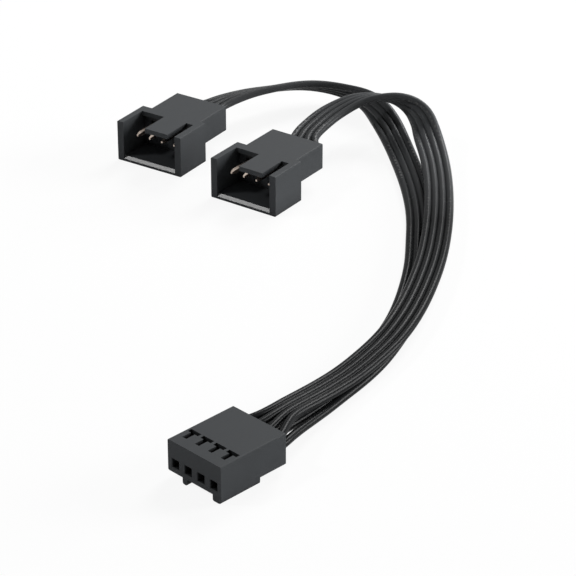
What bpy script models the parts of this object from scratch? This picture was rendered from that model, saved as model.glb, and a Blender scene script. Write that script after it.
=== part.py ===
"""A fan splitter cable: one four-way socket feeding two four-way plugs through two bonded flat cables.

Each connector is modelled in its own frame: x runs across the pin row, y from the mating face
towards the wires, and z up from the surface that the cable lies on.
"""

import math

import bmesh
import bpy
import numpy as np
from mathutils import Vector

MM = 0.001

# Contact row shared by the socket and the plugs
WAYS = 4
PITCH = 2.54 * MM
PIECE_GAP = 0.3 * MM
TOOL_OVERRUN = 1.0 * MM

# Socket housing
SOCKET_WIDTH = 10.6 * MM
SOCKET_LENGTH = 12.4 * MM
SOCKET_BODY_HEIGHT = 5.0 * MM
SOCKET_CONTACT_HEIGHT = 1.45 * MM
SOCKET_FLOOR = 0.45 * MM
SOCKET_CEILING = 0.7 * MM
SOCKET_FRONT_WALL = 1.0 * MM
SOCKET_EDGE_RADIUS = 0.25 * MM
MOUTH_WIDTH = 1.35 * MM
MOUTH_HEIGHT = 1.4 * MM
MOUTH_LEAD_IN = 0.1 * MM
CELL_WALL = 0.5 * MM

# Lock windows in the socket's roof
WINDOW_BAR_LENGTH = 0.7 * MM
WINDOW_BAR_CENTRE = 3.7 * MM
WINDOW_STEM_WIDTH = 0.8 * MM
WINDOW_STEM_LENGTH = 1.6 * MM

# Polarising key: a tongue on each plug that runs between two ribs of the socket
KEY_OFFSET = 1.075 * MM
KEY_WIDTH = 4.65 * MM
KEY_CLEARANCE = 0.2 * MM
RIB_HEIGHT = 1.0 * MM
RIB_LENGTH = 7.4 * MM
INNER_RIB_WIDTH = 0.95 * MM
INNER_RIB_RADIUS = 0.35 * MM
OUTER_RIB_RADII = (0.3 * MM, 0.6 * MM)

# Plug housing
SHROUD_WIDTH = 13.2 * MM
SHROUD_HEIGHT = 7.3 * MM
SHROUD_LENGTH = 7.4 * MM
SHROUD_SIDE_WALL = 1.25 * MM
SHROUD_ROOF = 0.85 * MM
SHROUD_FLOOR = 0.9 * MM
SHROUD_BACK_WALL = 1.0 * MM
SHROUD_LEAD_IN = 0.45 * MM
SLOT_LENGTH = 5.6 * MM
PLUG_LENGTH = 15.0 * MM
PLUG_REAR_WIDTH = 10.4 * MM
PLUG_REAR_HEIGHT = 4.6 * MM
PLUG_ROW_OFFSET = 0.5 * MM
PLUG_CONTACT_HEIGHT = 4.85 * MM
PLUG_CELL_HEIGHT = 3.0 * MM
PLUG_EDGE_RADIUS = 0.2 * MM
PIN_SIZE = 0.64 * MM
PIN_RECESS = 1.3 * MM
PIN_TIP_LENGTH = 0.9 * MM
PIN_TIP_SIZE = 0.3 * MM

# Crimped contacts
SHEET = 0.2 * MM
CONTACT_WIDTH = 1.44 * MM
RECEPTACLE_HEIGHT = 1.5 * MM
RECEPTACLE_LENGTH = 4.4 * MM
NECK_LENGTH = 0.8 * MM
BARREL_LENGTH = 2.2 * MM
TANG_START = 2.0 * MM
TANG_END = 3.5 * MM
TANG_WIDTH = 0.7 * MM
PIN_BODY_LENGTH = 2.6 * MM
PIN_BODY_HEIGHT = 1.6 * MM

# Flat cable: round wires bonded side by side, zipped apart near the connectors
WIRE_DIAMETER = 1.3 * MM
WIRE_SIDES = 8
WIRE_STACK_GAP = 0.26 * MM
BOND_PITCH = WIRE_DIAMETER * math.cos(math.pi / WIRE_SIDES)
PLUG_SPLIT_LENGTH = 7.5 * MM
SOCKET_SPLIT_LENGTH = 9.0 * MM
STATION_LENGTH = 2.5 * MM

# Where the connectors lie: centre of the mating face, and the turn of the wire side from +Y
SOCKET_PLACE = (40.95 * MM, -40.3 * MM, 0.0)
PLUG_LEFT_PLACE = (-38.25 * MM, 23.4 * MM, math.radians(12.0))
PLUG_RIGHT_PLACE = (-16.35 * MM, 24.5 * MM, math.radians(10.0))

# Routes of the two flat cables between the connectors, in millimetres, with the roll of the
# band in degrees: 0 lies flat as it leaves a plug, 90 stands on edge, 180 lies on its other face
ROUTE_LEFT = (
    (-41.4, 41.9, 4.9, 4),
    (-41.4, 45.9, 4.9, 11),
    (-40.9, 50.0, 4.8, 18),
    (-39.9, 54.0, 4.6, 24),
    (-38.7, 57.9, 4.3, 28),
    (-37.0, 61.3, 3.9, 33),
    (-34.8, 63.8, 3.4, 40),
    (-32.3, 65.2, 3.0, 50),
    (-29.3, 65.6, 2.75, 68),
    (-26.1, 65.2, 2.6, 96),
    (-22.8, 64.1, 2.4, 125),
    (-19.0, 62.3, 1.9, 150),
    (-14.5, 59.6, 1.25, 170),
    (-8.6, 55.5, 0.8, 178),
    (-2.4, 50.8, 0.66, 180),
    (3.4, 45.9, 0.66, 180),
    (8.8, 40.7, 0.66, 180),
    (13.7, 35.3, 0.66, 180),
    (18.4, 29.9, 0.66, 180),
    (22.6, 24.4, 0.66, 180),
    (26.4, 18.8, 0.66, 180),
    (29.6, 13.3, 0.66, 180),
    (32.2, 7.8, 0.66, 180),
    (34.4, 2.4, 0.66, 180),
    (36.0, -3.1, 0.68, 180),
    (37.2, -8.5, 0.8, 180),
    (38.4, -13.9, 1.15, 180),
    (39.4, -19.1, 1.75, 180),
    (40.3, -24.0, 2.4, 180),
)
ROUTE_RIGHT = (
    (-20.5, 43.4, 5.35, 0),
    (-21.9, 47.2, 5.65, 0),
    (-22.7, 50.9, 6.0, 0),
    (-22.8, 54.2, 6.4, 2),
    (-22.2, 57.0, 6.9, 6),
    (-21.0, 59.2, 7.25, 13),
    (-19.2, 60.9, 7.4, 24),
    (-17.2, 62.2, 7.3, 41),
    (-15.2, 63.0, 6.8, 65),
    (-13.2, 63.2, 6.0, 97),
    (-11.2, 62.7, 5.1, 128),
    (-9.1, 61.4, 4.3, 150),
    (-6.2, 59.3, 3.5, 167),
    (-2.1, 56.0, 2.8, 177),
    (3.2, 51.0, 2.4, 180),
    (8.1, 45.8, 2.28, 180),
    (12.8, 40.4, 2.24, 180),
    (17.2, 34.9, 2.24, 180),
    (21.3, 29.3, 2.24, 180),
    (25.0, 23.6, 2.24, 180),
    (28.4, 17.8, 2.24, 180),
    (31.4, 11.9, 2.24, 180),
    (33.8, 6.0, 2.24, 180),
    (35.5, 0.1, 2.25, 180),
    (36.8, -5.7, 2.35, 180),
    (37.8, -11.4, 2.75, 180),
    (38.7, -17.0, 3.4, 180),
    (39.8, -22.6, 4.1, 180),
)

# Levels that follow from the sizes above
SOCKET_CONTACT_Z = RIB_HEIGHT + SOCKET_CONTACT_HEIGHT
CELL_WIDTH = PITCH - CELL_WALL
CELL_BOTTOM = RIB_HEIGHT + SOCKET_FLOOR
CELL_TOP = RIB_HEIGHT + SOCKET_BODY_HEIGHT - SOCKET_CEILING
UPPER_WIRE_Z = CELL_TOP - PIECE_GAP - WIRE_DIAMETER / 2
LOWER_WIRE_Z = UPPER_WIRE_Z - WIRE_DIAMETER - WIRE_STACK_GAP
SOCKET_BARREL_START = SOCKET_FRONT_WALL + PIECE_GAP + RECEPTACLE_LENGTH + NECK_LENGTH
SOCKET_WIRE_END = SOCKET_BARREL_START + BARREL_LENGTH + PIECE_GAP
PIN_BODY_START = SHROUD_LENGTH + PIECE_GAP
PLUG_WIRE_END = PIN_BODY_START + PIN_BODY_LENGTH + NECK_LENGTH + BARREL_LENGTH + PIECE_GAP


def row_places():
    """The x of each contact, from the first to the last."""
    return [(way - (WAYS - 1) / 2) * PITCH for way in range(WAYS)]


def material(name, colour, roughness, metallic):
    made = bpy.data.materials.new(name)
    made.use_nodes = True
    shader = made.node_tree.nodes["Principled BSDF"]
    shader.inputs["Base Color"].default_value = (*colour, 1.0)
    shader.inputs["Roughness"].default_value = roughness
    shader.inputs["Metallic"].default_value = metallic
    return made


def add_object(name, shape, finish=None, parent=None):
    """Turns a bmesh into an object of its own."""
    bmesh.ops.recalc_face_normals(shape, faces=shape.faces)
    mesh = bpy.data.meshes.new(name)
    shape.to_mesh(mesh)
    shape.free()
    obj = bpy.data.objects.new(name, mesh)
    bpy.context.scene.collection.objects.link(obj)
    obj.parent = parent
    if finish:
        mesh.materials.append(finish)
        mesh.shade_smooth()
        mesh.set_sharp_from_angle(angle=math.radians(35))
    return obj


def add_place(name, x, y, turn):
    """An empty at the centre of a connector's mating face, on the surface that it lies on."""
    place = bpy.data.objects.new(name, None)
    place.location = (x, y, 0.0)
    place.rotation_euler = (0.0, 0.0, turn)
    bpy.context.scene.collection.objects.link(place)
    return place


def combine(target, tool, operation):
    """Joins a hidden tool to the target, or cuts the target with it."""
    tool.hide_render = True
    tool.display_type = "WIRE"
    modifier = target.modifiers.new(tool.name, "BOOLEAN")
    modifier.operation = operation
    modifier.solver = "EXACT"
    modifier.object = tool


def extrude_outline(shape, outline, start, end):
    """Extrudes an outline of (x, z) points along y."""
    face = shape.faces.new([shape.verts.new((x, start, z)) for x, z in outline])
    moved = bmesh.ops.extrude_face_region(shape, geom=[face])["geom"]
    corners = [item for item in moved if isinstance(item, bmesh.types.BMVert)]
    bmesh.ops.translate(shape, verts=corners, vec=(0.0, end - start, 0.0))


def rectangle(left, right, bottom, top):
    return [(left, bottom), (right, bottom), (right, top), (left, top)]


def rounded_outline(corners, radii, steps=3):
    """The outline with each corner turned into an arc of its own radius."""
    points = []
    count = len(corners)
    for index, (corner, radius) in enumerate(zip(corners, radii)):
        here = Vector(corner)
        before = (Vector(corners[index - 1]) - here).normalized()
        after = (Vector(corners[(index + 1) % count]) - here).normalized()
        if radius == 0.0:
            points.append(tuple(here))
            continue
        for step in range(steps + 1):
            share = step / steps
            start = here + before * radius * (1 - share)
            end = here + after * radius * share
            points.append(tuple(start.lerp(end, share)))
    return points


def loft(shape, sections):
    """Skins closed sections that have the same number of points, and caps both ends."""
    rings = [[shape.verts.new(point) for point in section] for section in sections]
    for ring, following in zip(rings, rings[1:]):
        for index in range(len(ring)):
            after = (index + 1) % len(ring)
            shape.faces.new((ring[index], ring[after], following[after], following[index]))
    shape.faces.new(rings[0])
    shape.faces.new(rings[-1])


def block_section(x, y, z, width, height):
    """A rectangular section across y, centred on x and z."""
    return [
        (x - width / 2, y, z - height / 2),
        (x + width / 2, y, z - height / 2),
        (x + width / 2, y, z + height / 2),
        (x - width / 2, y, z + height / 2),
    ]


def crimp_outline(x, bottom, top, width):
    """A crimped barrel seen end on: a round floor, and two wings curled in to meet on top."""
    half = width / 2
    curl = half / 2
    floor = [(x + half * math.cos(a), bottom + curl * (1 + math.sin(a)))
             for a in np.linspace(math.pi, 2 * math.pi, 7)]
    right = [(x + curl + curl * math.cos(a), top - curl + curl * math.sin(a))
             for a in np.linspace(0.0, math.pi * 0.8, 5)]
    left = [(2 * x - px, pz) for px, pz in reversed(right)]
    return floor + right + left


def socket_housing(finish, place):
    """The moulded socket: a block with two key ribs, four contact cells, mouths and windows."""
    half = SOCKET_WIDTH / 2
    top = RIB_HEIGHT + SOCKET_BODY_HEIGHT
    radius = SOCKET_EDGE_RADIUS

    body = bmesh.new()
    outline = rounded_outline(rectangle(-half, half, RIB_HEIGHT, top), (radius,) * 4)
    extrude_outline(body, outline, 0.0, SOCKET_LENGTH)
    housing = add_object("socket_housing", body, finish, place)

    gap_left = KEY_OFFSET - KEY_WIDTH / 2 - KEY_CLEARANCE
    gap_right = KEY_OFFSET + KEY_WIDTH / 2 + KEY_CLEARANCE
    bed = RIB_HEIGHT + radius
    ribs = bmesh.new()
    inner = rectangle(gap_left - INNER_RIB_WIDTH, gap_left, 0.0, bed)
    inner_radii = (INNER_RIB_RADIUS, INNER_RIB_RADIUS, 0.0, 0.0)
    extrude_outline(ribs, rounded_outline(inner, inner_radii), 0.0, RIB_LENGTH)
    outer = rectangle(gap_right, half, 0.0, bed)
    extrude_outline(ribs, rounded_outline(outer, (*OUTER_RIB_RADII, 0.0, 0.0)), 0.0, RIB_LENGTH)
    combine(housing, add_object("socket_rib_tool", ribs, parent=place), "UNION")

    cells = bmesh.new()
    mouths = bmesh.new()
    windows = bmesh.new()
    bar_front = WINDOW_BAR_CENTRE - WINDOW_BAR_LENGTH / 2
    bar_back = WINDOW_BAR_CENTRE + WINDOW_BAR_LENGTH / 2
    for x in row_places():
        cell = rectangle(x - CELL_WIDTH / 2, x + CELL_WIDTH / 2, CELL_BOTTOM, CELL_TOP)
        extrude_outline(cells, cell, SOCKET_FRONT_WALL, SOCKET_LENGTH + TOOL_OVERRUN)

        flare = 2 * (MOUTH_LEAD_IN + TOOL_OVERRUN)
        loft(mouths, [
            block_section(x, -TOOL_OVERRUN, SOCKET_CONTACT_Z, MOUTH_WIDTH + flare, MOUTH_HEIGHT + flare),
            block_section(x, MOUTH_LEAD_IN, SOCKET_CONTACT_Z, MOUTH_WIDTH, MOUTH_HEIGHT),
            block_section(x, SOCKET_FRONT_WALL + TOOL_OVERRUN, SOCKET_CONTACT_Z, MOUTH_WIDTH, MOUTH_HEIGHT),
        ])

        stem = WINDOW_STEM_WIDTH / 2
        bar = CELL_WIDTH / 2
        letter = [
            (x - stem, bar_front - WINDOW_STEM_LENGTH), (x + stem, bar_front - WINDOW_STEM_LENGTH),
            (x + stem, bar_front), (x + bar, bar_front), (x + bar, bar_back),
            (x - bar, bar_back), (x - bar, bar_front), (x - stem, bar_front),
        ]
        loft(windows, [
            [(px, py, CELL_TOP - TOOL_OVERRUN) for px, py in letter],
            [(px, py, top + TOOL_OVERRUN) for px, py in letter],
        ])
    combine(housing, add_object("socket_cell_tool", cells, parent=place), "DIFFERENCE")
    combine(housing, add_object("socket_mouth_tool", mouths, parent=place), "DIFFERENCE")
    combine(housing, add_object("socket_window_tool", windows, parent=place), "DIFFERENCE")


def socket_terminal(name, x, finish, place):
    """A crimped receptacle: a folded box open to the pin, a lock tang, a neck and a barrel."""
    front = SOCKET_FRONT_WALL + PIECE_GAP
    back = front + RECEPTACLE_LENGTH
    floor = SOCKET_CONTACT_Z - RECEPTACLE_HEIGHT / 2
    roof = SOCKET_CONTACT_Z + RECEPTACLE_HEIGHT / 2
    barrel_top = UPPER_WIRE_Z + WIRE_DIAMETER / 2
    half = CONTACT_WIDTH / 2

    box = bmesh.new()
    extrude_outline(box, rectangle(x - half, x + half, floor, roof), front, back)
    terminal = add_object(name, box, finish, place)

    rest = bmesh.new()
    neck_top = floor + 2 * SHEET
    inside = SHEET
    extrude_outline(rest, rectangle(x - half + SHEET, x + half - SHEET, floor + SHEET / 2, neck_top),
                    back - inside, SOCKET_BARREL_START + inside)
    combine(terminal, add_object(name + "_neck_tool", rest, parent=place), "UNION")

    barrel = bmesh.new()
    outline = crimp_outline(x, floor, barrel_top, CONTACT_WIDTH)
    extrude_outline(barrel, outline, SOCKET_BARREL_START, SOCKET_BARREL_START + BARREL_LENGTH)
    combine(terminal, add_object(name + "_barrel_tool", barrel, parent=place), "UNION")

    tang = bmesh.new()
    tang_top = CELL_TOP - PIECE_GAP
    profile = [(TANG_START, roof - SHEET), (TANG_START + SHEET, roof - SHEET),
               (TANG_END, tang_top - SHEET), (TANG_END, tang_top), (TANG_END - SHEET, tang_top)]
    loft(tang, [[(x - TANG_WIDTH / 2, py, pz) for py, pz in profile],
                [(x + TANG_WIDTH / 2, py, pz) for py, pz in profile]])
    combine(terminal, add_object(name + "_tang_tool", tang, parent=place), "UNION")

    mouth = bmesh.new()
    opening = rectangle(x - half + SHEET, x + half - SHEET, floor + SHEET, roof - 1.5 * SHEET)
    extrude_outline(mouth, opening, front - SHEET, back - 2 * SHEET)
    combine(terminal, add_object(name + "_mouth_tool", mouth, parent=place), "DIFFERENCE")


def plug_housing(name, finish, place):
    """The moulded plug: an open shroud with a key tongue, and a narrower block for the contacts."""
    half = SHROUD_WIDTH / 2
    radius = PLUG_EDGE_RADIUS
    inner = half - SHROUD_SIDE_WALL
    roof_bottom = SHROUD_HEIGHT - SHROUD_ROOF
    cavity_end = SHROUD_LENGTH - SHROUD_BACK_WALL

    shroud = bmesh.new()
    outline = rounded_outline(rectangle(-half, half, 0.0, SHROUD_HEIGHT), (radius,) * 4)
    extrude_outline(shroud, outline, 0.0, SHROUD_LENGTH)
    housing = add_object(name, shroud, finish, place)

    rear = bmesh.new()
    left = PLUG_ROW_OFFSET - PLUG_REAR_WIDTH / 2
    right = PLUG_ROW_OFFSET + PLUG_REAR_WIDTH / 2
    block = rectangle(left, right, SHROUD_HEIGHT - PLUG_REAR_HEIGHT, SHROUD_HEIGHT)
    extrude_outline(rear, rounded_outline(block, (radius,) * 4), SHROUD_LENGTH - TOOL_OVERRUN, PLUG_LENGTH)
    combine(housing, add_object(name + "_rear_tool", rear, parent=place), "UNION")

    cavity = bmesh.new()
    lip = SHROUD_LEAD_IN
    profile = [(-TOOL_OVERRUN, SHROUD_FLOOR - lip - TOOL_OVERRUN), (lip, SHROUD_FLOOR),
               (cavity_end, SHROUD_FLOOR), (cavity_end, roof_bottom), (-TOOL_OVERRUN, roof_bottom)]
    loft(cavity, [[(-inner, py, pz) for py, pz in profile], [(inner, py, pz) for py, pz in profile]])
    combine(housing, add_object(name + "_cavity_tool", cavity, parent=place), "DIFFERENCE")

    slots = bmesh.new()
    tongue_left = PLUG_ROW_OFFSET + KEY_OFFSET - KEY_WIDTH / 2
    tongue_right = PLUG_ROW_OFFSET + KEY_OFFSET + KEY_WIDTH / 2
    slot_bottom = roof_bottom - TOOL_OVERRUN
    slot_top = SHROUD_HEIGHT + TOOL_OVERRUN
    extrude_outline(slots, rectangle(-inner, tongue_left, slot_bottom, slot_top), -TOOL_OVERRUN, SLOT_LENGTH)
    extrude_outline(slots, rectangle(tongue_right, inner, slot_bottom, slot_top), -TOOL_OVERRUN, SLOT_LENGTH)
    combine(housing, add_object(name + "_slot_tool", slots, parent=place), "DIFFERENCE")

    cells = bmesh.new()
    holes = bmesh.new()
    hole = PIN_SIZE + 2 * PIECE_GAP
    for row_x in row_places():
        x = row_x + PLUG_ROW_OFFSET
        low = PLUG_CONTACT_HEIGHT - PLUG_CELL_HEIGHT / 2
        cell = rectangle(x - CELL_WIDTH / 2, x + CELL_WIDTH / 2, low, low + PLUG_CELL_HEIGHT)
        extrude_outline(cells, cell, SHROUD_LENGTH, PLUG_LENGTH + TOOL_OVERRUN)
        opening = rectangle(x - hole / 2, x + hole / 2,
                            PLUG_CONTACT_HEIGHT - hole / 2, PLUG_CONTACT_HEIGHT + hole / 2)
        extrude_outline(holes, opening, cavity_end - TOOL_OVERRUN, SHROUD_LENGTH + TOOL_OVERRUN)
    combine(housing, add_object(name + "_cell_tool", cells, parent=place), "DIFFERENCE")
    combine(housing, add_object(name + "_hole_tool", holes, parent=place), "DIFFERENCE")


def plug_pin(name, row_x, finish, place):
    """A crimped pin: a tapered square pin, a folded body, a neck and a barrel, in one loft."""
    x = row_x + PLUG_ROW_OFFSET
    z = PLUG_CONTACT_HEIGHT
    body_end = PIN_BODY_START + PIN_BODY_LENGTH
    barrel_start = body_end + NECK_LENGTH
    step = 0.01 * MM

    shape = bmesh.new()
    loft(shape, [
        block_section(x, PIN_RECESS, z, PIN_TIP_SIZE, PIN_TIP_SIZE),
        block_section(x, PIN_RECESS + PIN_TIP_LENGTH, z, PIN_SIZE, PIN_SIZE),
        block_section(x, PIN_BODY_START, z, PIN_SIZE, PIN_SIZE),
        block_section(x, PIN_BODY_START + step, z, CONTACT_WIDTH, PIN_BODY_HEIGHT),
        block_section(x, body_end, z, CONTACT_WIDTH, PIN_BODY_HEIGHT),
        block_section(x, body_end + step, z, CONTACT_WIDTH - 2 * SHEET, 2 * SHEET),
        block_section(x, barrel_start + SHEET, z, CONTACT_WIDTH - 2 * SHEET, 2 * SHEET),
    ])
    pin = add_object(name, shape, finish, place)

    barrel = bmesh.new()
    outline = crimp_outline(x, z - WIRE_DIAMETER / 2, z + WIRE_DIAMETER / 2, CONTACT_WIDTH)
    extrude_outline(barrel, outline, barrel_start, barrel_start + BARREL_LENGTH)
    combine(pin, add_object(name + "_barrel_tool", barrel, parent=place), "UNION")


def in_world(place, x, y, z):
    """A connector's own point in the frame of the whole cable."""
    at_x, at_y, turn = place
    return (at_x + x * math.cos(turn) - y * math.sin(turn),
            at_y + x * math.sin(turn) + y * math.cos(turn), z)


def smooth_route(points):
    """Resamples a natural cubic spline through the points, about a station length apart."""
    points = np.array(points)
    knots = np.append(0.0, np.cumsum(np.linalg.norm(np.diff(points[:, :3], axis=0), axis=1)))
    gaps = np.diff(knots)
    count = len(points)
    system = np.eye(count)
    bends = np.zeros((count, points.shape[1]))
    for index in range(1, count - 1):
        before = gaps[index - 1]
        after = gaps[index]
        system[index, index - 1:index + 2] = (before, 2 * (before + after), after)
        rise = (points[index + 1] - points[index]) / after
        fall = (points[index] - points[index - 1]) / before
        bends[index] = 6 * (rise - fall)
    bends = np.linalg.solve(system, bends)
    stations = np.linspace(0.0, knots[-1], round(knots[-1] / STATION_LENGTH) + 1)
    piece = np.clip(np.searchsorted(knots, stations, side="right") - 1, 0, count - 2)
    gap = gaps[piece][:, None]
    along = (stations - knots[piece])[:, None]
    left = gap - along
    start = points[piece]
    end = points[piece + 1]
    cubic = (bends[piece] * left ** 3 + bends[piece + 1] * along ** 3) / (6 * gap)
    linear = (start / gap - bends[piece] * gap / 6) * left + (end / gap - bends[piece + 1] * gap / 6) * along
    return cubic + linear, stations


def wire_spacing(distance_to_end, inside, split):
    """The pitch of the wires: the contacts' pitch in the housing, easing to the bonded pitch."""
    share = min(max((distance_to_end - inside) / split, 0.0), 1.0)
    ease = share * share * (3 - 2 * share)
    return PITCH + (BOND_PITCH - PITCH) * ease


def flat_cable(name, plug, route, socket_z, finish):
    """Four wires bonded into one band, zipped apart at both ends to reach their contacts."""
    plug_inside = PLUG_LENGTH - PLUG_WIRE_END
    socket_inside = SOCKET_LENGTH - SOCKET_WIRE_END
    points = [in_world(plug, PLUG_ROW_OFFSET, y, PLUG_CONTACT_HEIGHT) + (0.0,)
              for y in (PLUG_WIRE_END, PLUG_LENGTH)]
    points += [(x * MM, y * MM, z * MM, math.radians(roll)) for x, y, z, roll in route]
    points += [in_world(SOCKET_PLACE, 0.0, y, socket_z) + (math.pi,)
               for y in (SOCKET_LENGTH, SOCKET_WIRE_END)]
    stations, distances = smooth_route(points)
    total = distances[-1]
    radius = WIRE_DIAMETER / 2
    turn = 2 * math.pi / WIRE_SIDES
    angles = [turn / 2 + turn * side for side in range(WIRE_SIDES)]
    opposite = WIRE_SIDES // 2
    shared_corners = ((opposite - 1, 0), (opposite, WIRE_SIDES - 1))

    shape = bmesh.new()
    rings = []
    tangents = np.gradient(stations[:, :3], axis=0)
    for station, tangent, distance in zip(stations, tangents, distances):
        forward = Vector(tangent).normalized()
        level = forward.cross(Vector((0.0, 0.0, 1.0))).normalized()
        across = level * math.cos(station[3]) + level.cross(forward) * math.sin(station[3])
        normal = across.cross(forward)
        spacing = max(wire_spacing(distance, plug_inside, PLUG_SPLIT_LENGTH),
                      wire_spacing(total - distance, socket_inside, SOCKET_SPLIT_LENGTH))
        bonded = spacing < BOND_PITCH + 0.001 * MM
        wires = []
        for way in range(WAYS):
            centre = Vector(station[:3]) + across * (way - (WAYS - 1) / 2) * spacing
            ring = [None] * WIRE_SIDES
            if bonded and way:
                for mine, other in shared_corners:
                    ring[mine] = wires[-1][other]
            for side, angle in enumerate(angles):
                if ring[side] is None:
                    ring[side] = shape.verts.new(
                        centre + across * radius * math.cos(angle) + normal * radius * math.sin(angle))
            wires.append(ring)
        rings.append((bonded, wires))

    for (bonded, wires), (next_bonded, next_wires) in zip(rings, rings[1:]):
        for way, (ring, following) in enumerate(zip(wires, next_wires)):
            for side in range(WIRE_SIDES):
                after = (side + 1) % WIRE_SIDES
                shared_right = side == WIRE_SIDES - 1 and way < WAYS - 1
                shared_left = side == opposite - 1 and way > 0
                if bonded and next_bonded and (shared_right or shared_left):
                    continue
                shape.faces.new((ring[side], ring[after], following[after], following[side]))
    for ring in rings[0][1] + rings[-1][1]:
        shape.faces.new(ring)
    add_object(name, shape, finish)


def build():
    for obj in list(bpy.data.objects):
        bpy.data.objects.remove(obj)

    moulded = (0.028, 0.03, 0.031)
    tinned = (0.62, 0.56, 0.5)
    sheath = (0.016, 0.016, 0.018)

    socket = add_place("socket_place", *SOCKET_PLACE)
    socket_housing(material("socket_plastic", moulded, 0.5, 0.0), socket)
    for way, x in enumerate(row_places(), start=1):
        metal = material(f"socket_metal_{way}", tinned, 0.35, 1.0)
        socket_terminal(f"socket_terminal_{way}", x, metal, socket)

    for side, where, route, level in (
        ("left", PLUG_LEFT_PLACE, ROUTE_LEFT, LOWER_WIRE_Z),
        ("right", PLUG_RIGHT_PLACE, ROUTE_RIGHT, UPPER_WIRE_Z),
    ):
        place = add_place(f"plug_place_{side}", *where)
        plug_housing(f"plug_housing_{side}", material(f"plug_plastic_{side}", moulded, 0.5, 0.0), place)
        for way, x in enumerate(row_places(), start=1):
            metal = material(f"pin_metal_{side}_{way}", tinned, 0.3, 1.0)
            plug_pin(f"plug_pin_{side}_{way}", x, metal, place)
        flat_cable(f"ribbon_{side}", where, route, level, material(f"sheath_{side}", sheath, 0.38, 0.0))


build()
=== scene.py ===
# %% [markdown]
# This scene dresses a fan splitter cable: one socket, two plugs and two flat ribbons of bonded wires.
# The solids come packed from the CAD step, in metres, and lie on the plane z = 0.
# Here they get their finish, a camera, light and finer ribbons, but no other shape or place.

# %% Load the solid model
import math

import bmesh
import bpy
import numpy as np
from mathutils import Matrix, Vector


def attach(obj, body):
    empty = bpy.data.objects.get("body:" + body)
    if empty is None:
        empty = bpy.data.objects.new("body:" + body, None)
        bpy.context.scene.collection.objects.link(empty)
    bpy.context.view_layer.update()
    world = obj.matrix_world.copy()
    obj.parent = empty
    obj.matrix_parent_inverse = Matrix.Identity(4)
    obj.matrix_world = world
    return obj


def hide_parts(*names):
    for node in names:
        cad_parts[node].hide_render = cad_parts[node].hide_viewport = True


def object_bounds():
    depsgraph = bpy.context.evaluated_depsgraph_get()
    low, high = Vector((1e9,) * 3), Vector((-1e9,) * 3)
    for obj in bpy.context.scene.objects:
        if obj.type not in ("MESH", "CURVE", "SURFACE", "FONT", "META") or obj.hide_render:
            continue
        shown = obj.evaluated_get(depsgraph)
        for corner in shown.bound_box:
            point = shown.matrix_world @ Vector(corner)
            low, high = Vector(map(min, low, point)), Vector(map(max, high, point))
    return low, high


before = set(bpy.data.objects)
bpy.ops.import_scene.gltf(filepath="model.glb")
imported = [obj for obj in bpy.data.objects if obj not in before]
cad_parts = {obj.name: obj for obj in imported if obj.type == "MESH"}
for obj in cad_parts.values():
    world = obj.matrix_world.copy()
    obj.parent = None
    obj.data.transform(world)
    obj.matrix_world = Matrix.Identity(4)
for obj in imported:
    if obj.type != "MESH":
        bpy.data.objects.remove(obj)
solid_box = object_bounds()
scene = bpy.context.scene
MM = 0.001
solid_span = solid_box[1] - solid_box[0]
print("solids:", len(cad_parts), "box in mm:", [round(value / MM, 1) for value in solid_span])

# %% [markdown]
# The photograph was taken with a long lens from about 40 cm away, so parallel edges of the housings
# stay nearly parallel. A camera is easiest to place by two points: where it stands and what it looks at.
# A quaternion then turns its own -Z axis along that line, and no aim constraint is needed.

# %% Place the camera
camera_stand = Vector((262.2, -243.2, 194.4)) * MM
camera_aim = Vector((8.9, 9.8, 0.0)) * MM
LENS_LENGTH = 162.5
CLIP_START = 0.01
CLIP_END = 20.0

camera_settings = bpy.data.cameras.new("camera")
camera_settings.lens = LENS_LENGTH
camera_settings.clip_start = CLIP_START
camera_settings.clip_end = CLIP_END
camera = bpy.data.objects.new("camera", camera_settings)
camera.location = camera_stand
camera.rotation_mode = "QUATERNION"
camera.rotation_quaternion = (camera_aim - camera_stand).to_track_quat("-Z", "Y")
scene.collection.objects.link(camera)
scene.camera = camera
scene.view_settings.view_transform = "Standard"
print("camera distance in mm:", round((camera_aim - camera_stand).length / MM))

# %% [markdown]
# A ribbon of this kind is four round wires whose sheaths were extruded side by side and stuck together.
# At both ends they are zipped apart to reach contacts that stand further from each other.
# The CAD step stores each ribbon as a coarse solid. For the picture each is built again along
# the same route, with rounder wires. A route is a list of points in millimetres, with a fourth number
# for how far the band has rolled about its own line: 0 is flat, 90 on edge, 180 flat on its other face.

# %% Write down the two routes
ROUTE_LEFT = (
    (-41.4, 41.9, 4.9, 4),
    (-41.4, 45.9, 4.9, 11),
    (-40.9, 50.0, 4.8, 18),
    (-39.9, 54.0, 4.6, 24),
    (-38.7, 57.9, 4.3, 28),
    (-37.0, 61.3, 3.9, 33),
    (-34.8, 63.8, 3.4, 40),
    (-32.3, 65.2, 3.0, 50),
    (-29.3, 65.6, 2.75, 68),
    (-26.1, 65.2, 2.6, 96),
    (-22.8, 64.1, 2.4, 125),
    (-19.0, 62.3, 1.9, 150),
    (-14.5, 59.6, 1.25, 170),
    (-8.6, 55.5, 0.8, 178),
    (-2.4, 50.8, 0.66, 180),
    (3.4, 45.9, 0.66, 180),
    (8.8, 40.7, 0.66, 180),
    (13.7, 35.3, 0.66, 180),
    (18.4, 29.9, 0.66, 180),
    (22.6, 24.4, 0.66, 180),
    (26.4, 18.8, 0.66, 180),
    (29.6, 13.3, 0.66, 180),
    (32.2, 7.8, 0.66, 180),
    (34.4, 2.4, 0.66, 180),
    (36.0, -3.1, 0.68, 180),
    (37.2, -8.5, 0.8, 180),
    (38.4, -13.9, 1.15, 180),
    (39.4, -19.1, 1.75, 180),
    (40.3, -24.0, 2.4, 180),
)
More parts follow.
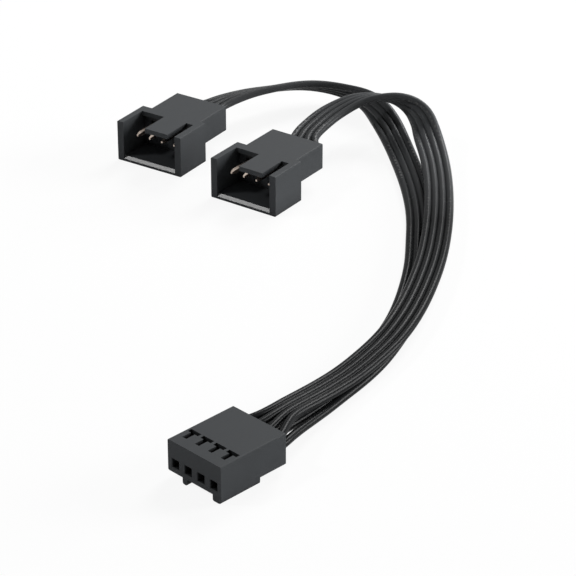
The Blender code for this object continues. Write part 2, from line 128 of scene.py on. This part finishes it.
ROUTE_RIGHT = (
    (-20.5, 43.4, 5.35, 0),
    (-21.9, 47.2, 5.65, 0),
    (-22.7, 50.9, 6.0, 0),
    (-22.8, 54.2, 6.4, 2),
    (-22.2, 57.0, 6.9, 6),
    (-21.0, 59.2, 7.25, 13),
    (-19.2, 60.9, 7.4, 24),
    (-17.2, 62.2, 7.3, 41),
    (-15.2, 63.0, 6.8, 65),
    (-13.2, 63.2, 6.0, 97),
    (-11.2, 62.7, 5.1, 128),
    (-9.1, 61.4, 4.3, 150),
    (-6.2, 59.3, 3.5, 167),
    (-2.1, 56.0, 2.8, 177),
    (3.2, 51.0, 2.4, 180),
    (8.1, 45.8, 2.28, 180),
    (12.8, 40.4, 2.24, 180),
    (17.2, 34.9, 2.24, 180),
    (21.3, 29.3, 2.24, 180),
    (25.0, 23.6, 2.24, 180),
    (28.4, 17.8, 2.24, 180),
    (31.4, 11.9, 2.24, 180),
    (33.8, 6.0, 2.24, 180),
    (35.5, 0.1, 2.25, 180),
    (36.8, -5.7, 2.35, 180),
    (37.8, -11.4, 2.75, 180),
    (38.7, -17.0, 3.4, 180),
    (39.8, -22.6, 4.1, 180),
)
print("route points:", len(ROUTE_LEFT), "and", len(ROUTE_RIGHT))

# %% Write down the sizes that the ribbons share with the solids
WIRES = 4
WIRE_DIAMETER = 1.3 * MM
CONTACT_PITCH = 2.54 * MM
# Bonded wires overlap a little: this is how far round a wire the seam reaches, from the band's plane
SEAM_HALF_ANGLE = math.pi / 8
BOND_PITCH = WIRE_DIAMETER * math.cos(SEAM_HALF_ANGLE)

# From the wires' ends: where they start to gather, over what length, and whether they start softly
PLUG_SPLIT = (0.4 * MM, 5.2 * MM, True)
LOWER_SOCKET_SPLIT = (2.0 * MM, 22.0 * MM, False)
UPPER_SOCKET_SPLIT = (3.1 * MM, 7.9 * MM, False)

# Middle of each mating face, and how far the connector is turned from +Y
SOCKET_PLACE = (40.95 * MM, -40.3 * MM, 0.0)
PLUG_LEFT_PLACE = (-38.25 * MM, 23.4 * MM, math.radians(12.0))
PLUG_RIGHT_PLACE = (-16.35 * MM, 24.5 * MM, math.radians(10.0))

# Along a connector, from its mating face: where the wires stop inside it, and its rear face
PLUG_WIRE_END = 13.6 * MM
PLUG_REAR = 15.0 * MM
PLUG_ROW_OFFSET = 0.5 * MM
PLUG_WIRE_HEIGHT = 4.85 * MM
SOCKET_WIRE_END = 9.0 * MM
SOCKET_REAR = 12.4 * MM
LOWER_WIRE_HEIGHT = 2.79 * MM
UPPER_WIRE_HEIGHT = 4.35 * MM


# %% Turn a point of a connector into a point of the scene
def in_scene(place, x, y, z):
    at_x, at_y, turn = place
    return (at_x + x * math.cos(turn) - y * math.sin(turn),
            at_y + x * math.sin(turn) + y * math.cos(turn), z)


# %% [markdown]
# A smooth line through the points comes from a natural cubic spline: its bend is continuous, as in a real
# wire. Blender's own curves bevel round profiles only about their line, and a band that rolls needs its
# four wires placed one by one. So the line is sampled here and the mesh is skinned ring by ring.

# %% Sample a smooth line through the points
STATION_LENGTH = 0.6 * MM


def smooth_line(points):
    points = np.array(points)
    knots = np.append(0.0, np.cumsum(np.linalg.norm(np.diff(points[:, :3], axis=0), axis=1)))
    gaps = np.diff(knots)
    count = len(points)
    system = np.eye(count)
    bends = np.zeros((count, points.shape[1]))
    for index in range(1, count - 1):
        before = gaps[index - 1]
        after = gaps[index]
        system[index, index - 1:index + 2] = (before, 2 * (before + after), after)
        rise = (points[index + 1] - points[index]) / after
        fall = (points[index] - points[index - 1]) / before
        bends[index] = 6 * (rise - fall)
    bends = np.linalg.solve(system, bends)
    distances = np.linspace(0.0, knots[-1], round(knots[-1] / STATION_LENGTH) + 1)
    piece = np.clip(np.searchsorted(knots, distances, side="right") - 1, 0, count - 2)
    gap = gaps[piece][:, None]
    along = (distances - knots[piece])[:, None]
    left = gap - along
    start = points[piece]
    end = points[piece + 1]
    cubic = (bends[piece] * left ** 3 + bends[piece + 1] * along ** 3) / (6 * gap)
    start_share = (start / gap - bends[piece] * gap / 6) * left
    end_share = (end / gap - bends[piece + 1] * gap / 6) * along
    return cubic + start_share + end_share, distances


def ribbon_line(place, route, socket_height):
    """The whole line of a ribbon, from its end inside the plug to its end inside the socket."""
    points = [in_scene(place, PLUG_ROW_OFFSET, y, PLUG_WIRE_HEIGHT) + (0.0,)
              for y in (PLUG_WIRE_END, PLUG_REAR)]
    points += [(x * MM, y * MM, z * MM, math.radians(roll)) for x, y, z, roll in route]
    points += [in_scene(SOCKET_PLACE, 0.0, y, socket_height) + (math.pi,)
               for y in (SOCKET_REAR, SOCKET_WIRE_END)]
    return smooth_line(points)


line_left, distances_left = ribbon_line(PLUG_LEFT_PLACE, ROUTE_LEFT, LOWER_WIRE_HEIGHT)
line_right, distances_right = ribbon_line(PLUG_RIGHT_PLACE, ROUTE_RIGHT, UPPER_WIRE_HEIGHT)
print("lengths in mm:", round(distances_left[-1] / MM, 1), round(distances_right[-1] / MM, 1))

# %% [markdown]
# Each wire is a ring of sixteen points at every station. Where the wires are bonded, neighbours share
# the three points of the seam between them, so the band is one closed skin with crisp grooves.
# Towards its ends a ribbon is split. The wires run side by side at the pitch of the contacts inside a
# housing, and gather to the pitch of the bond outside. At a plug they gather softly, within millimetres. At
# the socket they start at once, and the lower ribbon takes its time.

# %% Space the wires along a ribbon
BOND_SLACK = 0.001 * MM


def wire_pitch(distance_to_end, inside, split, soft_start):
    """From the contacts' pitch, up to inside, to the bond's pitch, a length of split further on."""
    share = min(max((distance_to_end - inside) / split, 0.0), 1.0)
    ease = share * share * (3 - 2 * share) if soft_start else share * (2 - share)
    return CONTACT_PITCH + (BOND_PITCH - CONTACT_PITCH) * ease


splits = {"plug": PLUG_SPLIT, "lower": LOWER_SOCKET_SPLIT, "upper": UPPER_SOCKET_SPLIT}
for place_name, split in splits.items():
    print(place_name, "wires bonded in mm from their ends:", round((split[0] + split[1]) / MM, 1))

# %% Place the rings of one station
RING_POINTS = 16
SEAM_POINTS = ((1, 7), (0, 8), (15, 9))


def section(skin, point, tangent, pitch):
    """The rings of all the wires at one station, and whether they are bonded there."""
    forward = Vector(tangent).normalized()
    level = forward.cross(Vector((0.0, 0.0, 1.0))).normalized()
    across = level * math.cos(point[3]) + level.cross(forward) * math.sin(point[3])
    normal = across.cross(forward)
    bonded = pitch < BOND_PITCH + BOND_SLACK
    wires = []
    for wire in range(WIRES):
        centre = Vector(point[:3]) + across * (wire - (WIRES - 1) / 2) * pitch
        ring = [None] * RING_POINTS
        if bonded and wire:
            for other, mine in SEAM_POINTS:
                ring[mine] = wires[-1][other]
        for index in range(RING_POINTS):
            if ring[index] is None:
                angle = 2 * math.pi * index / RING_POINTS
                mid_seam = bonded and index == 0 and wire < WIRES - 1
                reach = BOND_PITCH / 2 if mid_seam else WIRE_DIAMETER / 2
                side = across * math.cos(angle) + normal * math.sin(angle)
                ring[index] = skin.verts.new(centre + side * reach)
        wires.append(ring)
    return bonded, wires


print("points at a station:", WIRES * RING_POINTS, "or, bonded,",
      WIRES * RING_POINTS - (WIRES - 1) * len(SEAM_POINTS))

# %% [markdown]
# The rings are joined by four-sided faces. Faces inside a seam are left out, because nothing sees them.
# The map of the skin runs along the wire in u, and counts wires and the way round in v. The sheath's
# material uses it for the faint marks that such wires carry.

# %% Skin the bonded wires
SEAM_SIDES_RIGHT = (15, 0)
SEAM_SIDES_LEFT = (7, 8)
CREASE_ANGLE = math.radians(50)


def skin_wire(skin, skin_map, wire, rings, span, bonded):
    """The faces of one wire between two stations, given both rings and both distances."""
    ring, following = rings
    start, end = span
    for side in range(RING_POINTS):
        seam = side in SEAM_SIDES_RIGHT and wire < WIRES - 1
        seam = seam or (side in SEAM_SIDES_LEFT and wire > 0)
        if seam and bonded:
            continue
        after = (side + 1) % RING_POINTS
        face = skin.faces.new((ring[side], ring[after], following[after], following[side]))
        low = wire + side / RING_POINTS
        high = wire + (side + 1) / RING_POINTS
        corners = ((start, low), (start, high), (end, high), (end, low))
        for loop, (along, round_about) in zip(face.loops, corners):
            loop[skin_map].uv = (along / MM, round_about)


def ribbon(name, line, distances, socket_split):
    skin = bmesh.new()
    skin_map = skin.loops.layers.uv.new("wire_map")
    tangents = np.gradient(line[:, :3], axis=0)
    stations = []
    for point, tangent, distance in zip(line, tangents, distances):
        pitch = max(wire_pitch(distance, *PLUG_SPLIT),
                    wire_pitch(distances[-1] - distance, *socket_split))
        stations.append((distance, *section(skin, point, tangent, pitch)))
    for (start, bonded, wires), (end, next_bonded, next_wires) in zip(stations, stations[1:]):
        for wire, rings in enumerate(zip(wires, next_wires)):
            skin_wire(skin, skin_map, wire, rings, (start, end), bonded and next_bonded)
    for ring in stations[0][2] + stations[-1][2]:
        skin.faces.new(ring)
    bmesh.ops.recalc_face_normals(skin, faces=skin.faces)
    mesh = bpy.data.meshes.new(name)
    skin.to_mesh(mesh)
    skin.free()
    mesh.shade_smooth()
    mesh.set_sharp_from_angle(angle=CREASE_ANGLE)
    made = bpy.data.objects.new(name, mesh)
    scene.collection.objects.link(made)
    print(name, "faces:", len(mesh.polygons))
    return made


fine_ribbon_left = ribbon("fine_ribbon_left", line_left, distances_left, LOWER_SOCKET_SPLIT)
fine_ribbon_right = ribbon("fine_ribbon_right", line_right, distances_right, UPPER_SOCKET_SPLIT)

# %% [markdown]
# The imported model still holds the coarse ribbons for its physics. Each fine ribbon stands in for its coarse
# one in the picture and rides on the same body.

# %% Let the fine ribbons stand for the coarse ones
for piece, node in ((fine_ribbon_left, "ribbon_left"), (fine_ribbon_right, "ribbon_right")):
    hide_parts(node)
    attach(piece, "root")

# %% [markdown]
# Moulded housings are never sharp: the tool leaves a small round on every edge, and that is where light
# catches. A bevel modifier adds it to the CAD solids without touching their meshes. Only edges where
# faces meet at more than 30 degrees are rounded, and the harder normals keep the flat faces flat.

# %% Round the edges of the housings
HOUSINGS = ("socket_housing", "plug_housing_left", "plug_housing_right")
EDGE_ROUND = 0.09 * MM
EDGE_SEGMENTS = 2
EDGE_ANGLE = math.radians(30)

for name in HOUSINGS:
    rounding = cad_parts[name].modifiers.new("edge_round", "BEVEL")
    rounding.width = EDGE_ROUND
    rounding.segments = EDGE_SEGMENTS
    rounding.limit_method = "ANGLE"
    rounding.angle_limit = EDGE_ANGLE
    rounding.harden_normals = True
    print(name, "faces:", len(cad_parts[name].data.polygons))

# %% [markdown]
# Every finish starts from the Principled shader. A small helper keeps the node wiring readable: it makes
# a node, sets its plain values, and joins what feeds it. Noise works in object coordinates, which are the
# scene's own metres here, so a grain of 0.1 mm needs a scale in the thousands. Most of a noise lies
# between 0.3 and 0.7, so that part of it is spread over the two values that a finish asks for.

# %% Start a finish
NOISE_LOW = 0.3
NOISE_HIGH = 0.7


class Finish:
    def __init__(self, name):
        self.material = bpy.data.materials.new(name)
        self.material.use_nodes = True
        self.tree = self.material.node_tree
        self.shader = self.tree.nodes["Principled BSDF"]
        self.place = self.tree.nodes.new("ShaderNodeTexCoord").outputs["Object"]

    def node(self, kind, inputs=None, **settings):
        made = self.tree.nodes.new(kind)
        for key, value in settings.items():
            setattr(made, key, value)
        for key, value in (inputs or {}).items():
            if isinstance(value, bpy.types.NodeSocket):
                self.tree.links.new(value, made.inputs[key])
            else:
                made.inputs[key].default_value = value
        return made

    def feed(self, socket, value):
        if isinstance(value, bpy.types.NodeSocket):
            self.tree.links.new(value, self.shader.inputs[socket])
        else:
            self.shader.inputs[socket].default_value = value

    def noise(self, scale, detail=2.0):
        made = self.node("ShaderNodeTexNoise", {"Vector": self.place, "Scale": scale, "Detail": detail})
        return made.outputs["Fac"]

    def stretched_noise(self, place, scales):
        """Noise that is drawn out along the axes with the smaller scales."""
        stretched = self.node("ShaderNodeMapping", {"Vector": place, "Scale": scales}).outputs["Vector"]
        made = self.node("ShaderNodeTexNoise", {"Vector": stretched, "Scale": 1.0, "Detail": 2.0})
        return made.outputs["Fac"]

    def calculate(self, operation, first, second=0.0, third=0.0):
        made = self.node("ShaderNodeMath", {0: first, 1: second, 2: third}, operation=operation)
        return made.outputs["Value"]

    def map_range(self, value, start, end, low=0.0, high=1.0):
        """A value from start to end becomes one from low to high, and never leaves them."""
        made = self.node("ShaderNodeMapRange", {"Value": value, "From Min": start, "From Max": end,
                                                "To Min": low, "To Max": high})
        return made.outputs["Result"]

    def spread(self, noise, low, high):
        return self.map_range(noise, NOISE_LOW, NOISE_HIGH, low, high)

    def blend_values(self, factor, first, second):
        return self.node("ShaderNodeMix", {0: factor, 2: first, 3: second}).outputs[0]

    def blend_colours(self, factor, first, second):
        return self.node("ShaderNodeMix", {0: factor, 6: first, 7: second}, data_type="RGBA").outputs[2]

    def bump(self, height, strength, distance):
        made = self.node("ShaderNodeBump", {"Height": height, "Strength": strength, "Distance": distance})
        self.feed("Normal", made.outputs["Normal"])


def grey(level, warmth=0.0):
    """A grey as red, green, blue and alpha, a little warmer or cooler."""
    return (level * (1 + warmth), level, level * (1 - warmth), 1.0)


print("helper ready:", Finish.__name__)

# %% [markdown]
# The housings are black nylon from a finely eroded mould. Two scales of grain do it: one of about 0.1 mm
# in the bump, which breaks up reflections, and one of some millimetres in colour and roughness, for the
# slightly uneven shine that flow leaves in such mouldings. The cells, mouths and slots look nearly black on
# the real object, darker than the lamps here leave them, so shade is painted into the colour: it falls to
# near black where ambient occlusion finds walls close by.

# %% Finish the black housings
NYLON_DARK = grey(0.040, -0.07)
NYLON_LIGHT = grey(0.049, -0.07)
# Painted shade: the colour that the cells, mouths and slots fall to, darker than the lamps leave them
RECESS_PAINTED_SHADE = grey(0.006)
RECESS_REACH = 2.5 * MM
RECESS_CLOSED = 0.25
RECESS_OPEN = 0.6
FLOW_SCALE = 350.0
GRAIN_SCALE = 9000.0
NYLON_ROUGHNESS = (0.44, 0.54)
NYLON_SHINE = 0.07

moulded = Finish("moulded_black")
flow = moulded.noise(FLOW_SCALE)
grain = moulded.noise(GRAIN_SCALE)
# Painted shade: ambient occlusion darkens the nylon's colour where walls are close by
openness = moulded.node("ShaderNodeAmbientOcclusion", {"Distance": RECESS_REACH}, samples=8).outputs["AO"]
unshaded_share = moulded.map_range(openness, RECESS_CLOSED, RECESS_OPEN)
nylon_and_recess_shade = moulded.blend_colours(unshaded_share, RECESS_PAINTED_SHADE,
                              moulded.blend_colours(flow, NYLON_DARK, NYLON_LIGHT))
matt = moulded.spread(flow, *NYLON_ROUGHNESS)
moulded.feed("Specular IOR Level", NYLON_SHINE)
print("recesses darken within mm:", round(RECESS_REACH / MM, 1))

# %% [markdown]
# The slope that leads into each plug's mouth shows as one bright strip, as a smooth face does when it
# mirrors a lamp. No piece of its own is needed: the slope is the only wide face low down that looks
# forward and up, so the material finds it by direction and height. It gets a smooth finish, which mirrors
# the small lamp on the left, and a paler grey, which is a painted highlight.
# The plugs are turned by 12 and 10 degrees, and one direction halfway between finds both slopes.

# %% Polish the slope in the plugs' mouths and paint a highlight on it
LEAD_IN_NORMAL = (0.135, -0.694, 0.707)
LEAD_IN_MATCH = 0.985
LEAD_IN_TOP = 1.2 * MM
# Painted highlight: the paler grey of the slope
LEAD_IN_PAINTED_HIGHLIGHT = grey(0.16)
LEAD_IN_ROUGHNESS = 0.16
GRAIN_DEPTH = 0.02 * MM
GRAIN_STRENGTH = 0.25
LEAD_IN_GRAIN_STRENGTH = 0.03

face_normal = moulded.node("ShaderNodeNewGeometry").outputs["Normal"]
facing = moulded.node("ShaderNodeVectorMath", {0: face_normal, 1: LEAD_IN_NORMAL},
                      operation="DOT_PRODUCT").outputs["Value"]
height = moulded.node("ShaderNodeSeparateXYZ", {"Vector": moulded.place}).outputs["Z"]
lead_in = moulded.calculate("MULTIPLY", moulded.calculate("GREATER_THAN", facing, LEAD_IN_MATCH),
                            moulded.calculate("LESS_THAN", height, LEAD_IN_TOP))
# Painted highlight: the slope gets the paler grey in place of the nylon's colour; its low roughness is real
moulded.feed("Base Color", moulded.blend_colours(lead_in, nylon_and_recess_shade, LEAD_IN_PAINTED_HIGHLIGHT))
moulded.feed("Roughness", moulded.blend_values(lead_in, matt, LEAD_IN_ROUGHNESS))
moulded.bump(grain, moulded.blend_values(lead_in, GRAIN_STRENGTH, LEAD_IN_GRAIN_STRENGTH), GRAIN_DEPTH)


def dress(names, material):
    """Give solids of the CAD step one material in place of their own."""
    for name in names:
        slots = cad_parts[name].data.materials
        slots.clear()
        slots.append(material)


dress(HOUSINGS, moulded.material)
print("housings finished:", len(HOUSINGS))

# %% [markdown]
# The contacts are stamped from bronze strip and plated with tin, which leaves a warm, slightly brushed
# metal. The stripes of the stamping run along the pin, so the noise is stretched that way.

# %% Finish the contacts
BRUSHING_SCALE = (9000.0, 900.0, 9000.0)
PLATING_DARK = (0.34, 0.28, 0.24, 1.0)
PLATING_LIGHT = (0.52, 0.44, 0.38, 1.0)
PLATING_ROUGHNESS = (0.30, 0.42)
BRUSHING_STRENGTH = 0.15
BRUSHING_DEPTH = 0.01 * MM

plated = Finish("plated_contact")
brushing = plated.stretched_noise(plated.place, BRUSHING_SCALE)
plated.feed("Metallic", 1.0)
plated.feed("Base Color", plated.blend_colours(brushing, PLATING_DARK, PLATING_LIGHT))
plated.feed("Roughness", plated.spread(brushing, *PLATING_ROUGHNESS))
plated.bump(brushing, BRUSHING_STRENGTH, BRUSHING_DEPTH)

contacts = [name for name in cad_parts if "pin" in name or "terminal" in name]
dress(contacts, plated.material)
print("contacts finished:", len(contacts))

# %% [markdown]
# Along two of its wires a ribbon carries a print of small pale marks. They are drawn as plain dashes, in
# groups and partly worn: u of the skin's map gives the way along the wire in millimetres, and v tells
# which wire it is and how far round.

# %% Print dashes along the wires
MARK_SPACING = 1.15
MARK_DASH_SHARE = 0.55
MARK_GROUP = 31.0
MARK_GROUP_SHARE = 0.42
MARK_WIRES = (0, 3)
MARK_SIDES = (0.25, 0.75)
MARK_HALF_WIDTH = 0.045
MARK_WEAR = 0.47
MARK_WEAR_SCALE = 2600.0


def printed_dashes(sheath, along, around, seed):
    """1 on a printed dash and 0 beside it."""
    shifted = sheath.calculate("ADD", along, seed)
    dash_place = sheath.calculate("FRACT", sheath.calculate("DIVIDE", shifted, MARK_SPACING))
    dashes = sheath.calculate("LESS_THAN", dash_place, MARK_DASH_SHARE)
    group_place = sheath.calculate("FRACT", sheath.calculate("DIVIDE", shifted, MARK_GROUP))
    groups = sheath.calculate("LESS_THAN", group_place, MARK_GROUP_SHARE)
    stripe = 0.0
    for wire in MARK_WIRES:
        for side in MARK_SIDES:
            on_line = sheath.calculate("COMPARE", around, wire + side, MARK_HALF_WIDTH)
            stripe = sheath.calculate("ADD", stripe, on_line)
    unworn = sheath.calculate("GREATER_THAN", sheath.noise(MARK_WEAR_SCALE), MARK_WEAR)
    return sheath.calculate("MULTIPLY", sheath.calculate("MULTIPLY", dashes, groups),
                            sheath.calculate("MULTIPLY", stripe, unworn))


print("dashes in a group:", round(MARK_GROUP * MARK_GROUP_SHARE / MARK_SPACING))

# %% [markdown]
# The sheath is soft black vinyl, darker and glossier than the nylon, with very faint waves along its
# length where the strands press through. Towards the plugs, where the ribbons turn over, the photograph's
# light greys it. The lamps here stay plain, so the colour does a part of that: it is a little paler from
# the plug to just past the turn, and fades to the dark vinyl over the next three centimetres.

# %% Finish the sheaths
VINYL_DARK = grey(0.008, -0.06)
VINYL_LIGHT = grey(0.012, -0.06)
PALE_AT_PLUG = grey(0.042, -0.04)
PALE_WARMTH = -0.04
PALE_RISE_START = 10.0
PALE_RISE_END = 24.0
PALE_FADE = 30.0
PRINT_ON_DARK = grey(0.022)
PRINT_ON_PALE = grey(0.13)
CLOUD_SCALE = 420.0
VINYL_ROUGHNESS = (0.22, 0.28)
VINYL_SHINE = 0.022
WAVE_SCALE = (0.2, 6.0, 1.0)
WAVE_STRENGTH = 0.03
WAVE_DEPTH = 0.04 * MM


def sheath_finish(name, seed, turn_level, pale_end):
    """A ribbon's finish, by the grey at its turn and by where the pale stretch ends, in millimetres."""
    sheath = Finish(name)
    skin_map = sheath.node("ShaderNodeUVMap", uv_map="wire_map").outputs["UV"]
    parts = sheath.node("ShaderNodeSeparateXYZ", {"Vector": skin_map})
    along = parts.outputs["X"]
    marks = printed_dashes(sheath, along, parts.outputs["Y"], seed)
    cloud = sheath.noise(CLOUD_SCALE)
    dark = sheath.blend_colours(cloud, VINYL_DARK, VINYL_LIGHT)
    rise = sheath.map_range(along, PALE_RISE_START, PALE_RISE_END)
    pale = sheath.blend_colours(rise, PALE_AT_PLUG, grey(turn_level, PALE_WARMTH))
    paleness = sheath.map_range(along, pale_end + PALE_FADE, pale_end)
    vinyl = sheath.blend_colours(paleness, dark, pale)
    printed = sheath.blend_colours(paleness, PRINT_ON_DARK, PRINT_ON_PALE)
    sheath.feed("Base Color", sheath.blend_colours(marks, vinyl, printed))
    sheath.feed("Roughness", sheath.spread(cloud, *VINYL_ROUGHNESS))
    sheath.feed("Specular IOR Level", VINYL_SHINE)
    sheath.bump(sheath.stretched_noise(skin_map, WAVE_SCALE), WAVE_STRENGTH, WAVE_DEPTH)
    return sheath.material


sheath_left = sheath_finish("sheath_left", seed=9.0, turn_level=0.052, pale_end=56.0)
sheath_right = sheath_finish("sheath_right", seed=2.0, turn_level=0.080, pale_end=38.0)
fine_ribbon_left.data.materials.append(sheath_left)
fine_ribbon_right.data.materials.append(sheath_right)
print("sheaths finished:", sheath_left.name, sheath_right.name)

# %% [markdown]
# The cable lies on plain white. The floor is a real surface with a pale diffuse finish, so the cable's
# soft shadow stays on it. For the camera and in reflections most of it is replaced by an even white, which
# keeps the shadow as faint as it is in the photograph without any more light on the cable.

# %% Lay the floor
FLOOR_HALF = 2.0
PAPER_GLOW = 0.90
WHITE = grey(1.0)
WHITE_STRENGTH = 1.0
PAPER_DARK = grey(0.86)
PAPER_LIGHT = grey(0.88)
PAPER_SCALE = 60.0
PAPER_DETAIL = 3.0
PAPER_ROUGHNESS = 0.75
PAPER_SHINE = 0.2

floor_shape = bmesh.new()
corners = [floor_shape.verts.new((x * FLOOR_HALF, y * FLOOR_HALF, 0.0))
           for x, y in ((-1, -1), (1, -1), (1, 1), (-1, 1))]
floor_shape.faces.new(corners)
floor_mesh = bpy.data.meshes.new("floor")
floor_shape.to_mesh(floor_mesh)
floor_shape.free()
floor = bpy.data.objects.new("floor", floor_mesh)
scene.collection.objects.link(floor)

paper = Finish("white_paper")
mottle = paper.noise(PAPER_SCALE, PAPER_DETAIL)
paper.feed("Base Color", paper.blend_colours(mottle, PAPER_DARK, PAPER_LIGHT))
paper.feed("Roughness", PAPER_ROUGHNESS)
paper.feed("Specular IOR Level", PAPER_SHINE)
paper_rays = paper.node("ShaderNodeLightPath")
paper_seen = paper.calculate("MAXIMUM", paper_rays.outputs["Is Camera Ray"],
                             paper_rays.outputs["Is Glossy Ray"])
paper_white = paper.node("ShaderNodeEmission", {"Color": WHITE, "Strength": WHITE_STRENGTH})
paper_mix = paper.node("ShaderNodeMixShader", {0: paper.calculate("MULTIPLY", paper_seen, PAPER_GLOW),
                                               1: paper.shader.outputs["BSDF"],
                                               2: paper_white.outputs["Emission"]})
paper.tree.links.new(paper_mix.outputs["Shader"], paper.tree.nodes["Material Output"].inputs["Surface"])
floor_mesh.materials.append(paper.material)
print("floor side in m:", 2 * FLOOR_HALF)

# %% [markdown]
# The world is white for the camera, in reflections and through clear pieces. The light that it gives to
# matt surfaces is much dimmer, which leaves room for the lamps.

# %% Light the world
FILL_LEVEL = 0.11

world = bpy.data.worlds.new("studio")
world.use_nodes = True
scene.world = world
sky = world.node_tree
sky.nodes.clear()


def sky_maximum(first, second):
    made = sky.nodes.new("ShaderNodeMath")
    made.operation = "MAXIMUM"
    sky.links.new(first, made.inputs[0])
    sky.links.new(second, made.inputs[1])
    return made.outputs["Value"]


def sky_background(strength):
    made = sky.nodes.new("ShaderNodeBackground")
    made.inputs["Color"].default_value = WHITE
    made.inputs["Strength"].default_value = strength
    return made.outputs["Background"]


rays = sky.nodes.new("ShaderNodeLightPath")
seen = sky_maximum(rays.outputs["Is Camera Ray"], rays.outputs["Is Glossy Ray"])
choice = sky.nodes.new("ShaderNodeMixShader")
sky.links.new(sky_maximum(seen, rays.outputs["Is Transmission Ray"]), choice.inputs[0])
sky.links.new(sky_background(FILL_LEVEL), choice.inputs[1])
sky.links.new(sky_background(WHITE_STRENGTH), choice.inputs[2])
sky_output = sky.nodes.new("ShaderNodeOutputWorld")
sky.links.new(choice.outputs["Shader"], sky_output.inputs["Surface"])
print("fill level:", FILL_LEVEL)

# %% [markdown]
# Three soft boxes do the modelling. One stands low on the right: it lights the housings' right sides and
# leaves the mouths dark. One stands higher, behind and to the right: it lights the tops and draws the long
# streaks along the wires. The third is small, on the left, and shows in the polished slopes of the mouths.
# A lamp's watts spread over its distance, so each is set by the level it gives on white paper.

# %% Hang the lamps
# The picture's own right and away directions, laid on the floor
PICTURE_RIGHT = Vector((0.707, 0.707, 0.0))
PICTURE_AWAY = Vector((-0.707, 0.707, 0.0))
# Name, bearing and height above the floor in degrees, distance and size in metres, share of white
LAMPS = (
    ("lamp_right", 14.0, 13.0, 0.9, 0.4, 1.45),
    ("lamp_behind", 64.0, 37.0, 0.9, 0.34, 0.84),
    ("lamp_left", 184.0, 46.0, 0.91, 0.12, 0.26),
)


def soft_box(name, azimuth, height_angle, distance, size, level):
    """A square lamp. Its bearing is 0 at the picture's right and 90 straight behind the cable."""
    bearing = math.radians(azimuth)
    rise = math.radians(height_angle)
    direction = (PICTURE_RIGHT * math.cos(bearing) + PICTURE_AWAY * math.sin(bearing)) * math.cos(rise)
    direction += Vector((0.0, 0.0, math.sin(rise)))
    settings = bpy.data.lights.new(name, "AREA")
    settings.size = size
    settings.energy = level * math.pi ** 2 * distance ** 2
    lamp = bpy.data.objects.new(name, settings)
    lamp.location = camera_aim + direction * distance
    lamp.rotation_mode = "QUATERNION"
    lamp.rotation_quaternion = (-direction).to_track_quat("-Z", "Y")
    scene.collection.objects.link(lamp)
    print(name, "watts:", round(settings.energy, 2))


for lamp_settings in LAMPS:
    soft_box(*lamp_settings)
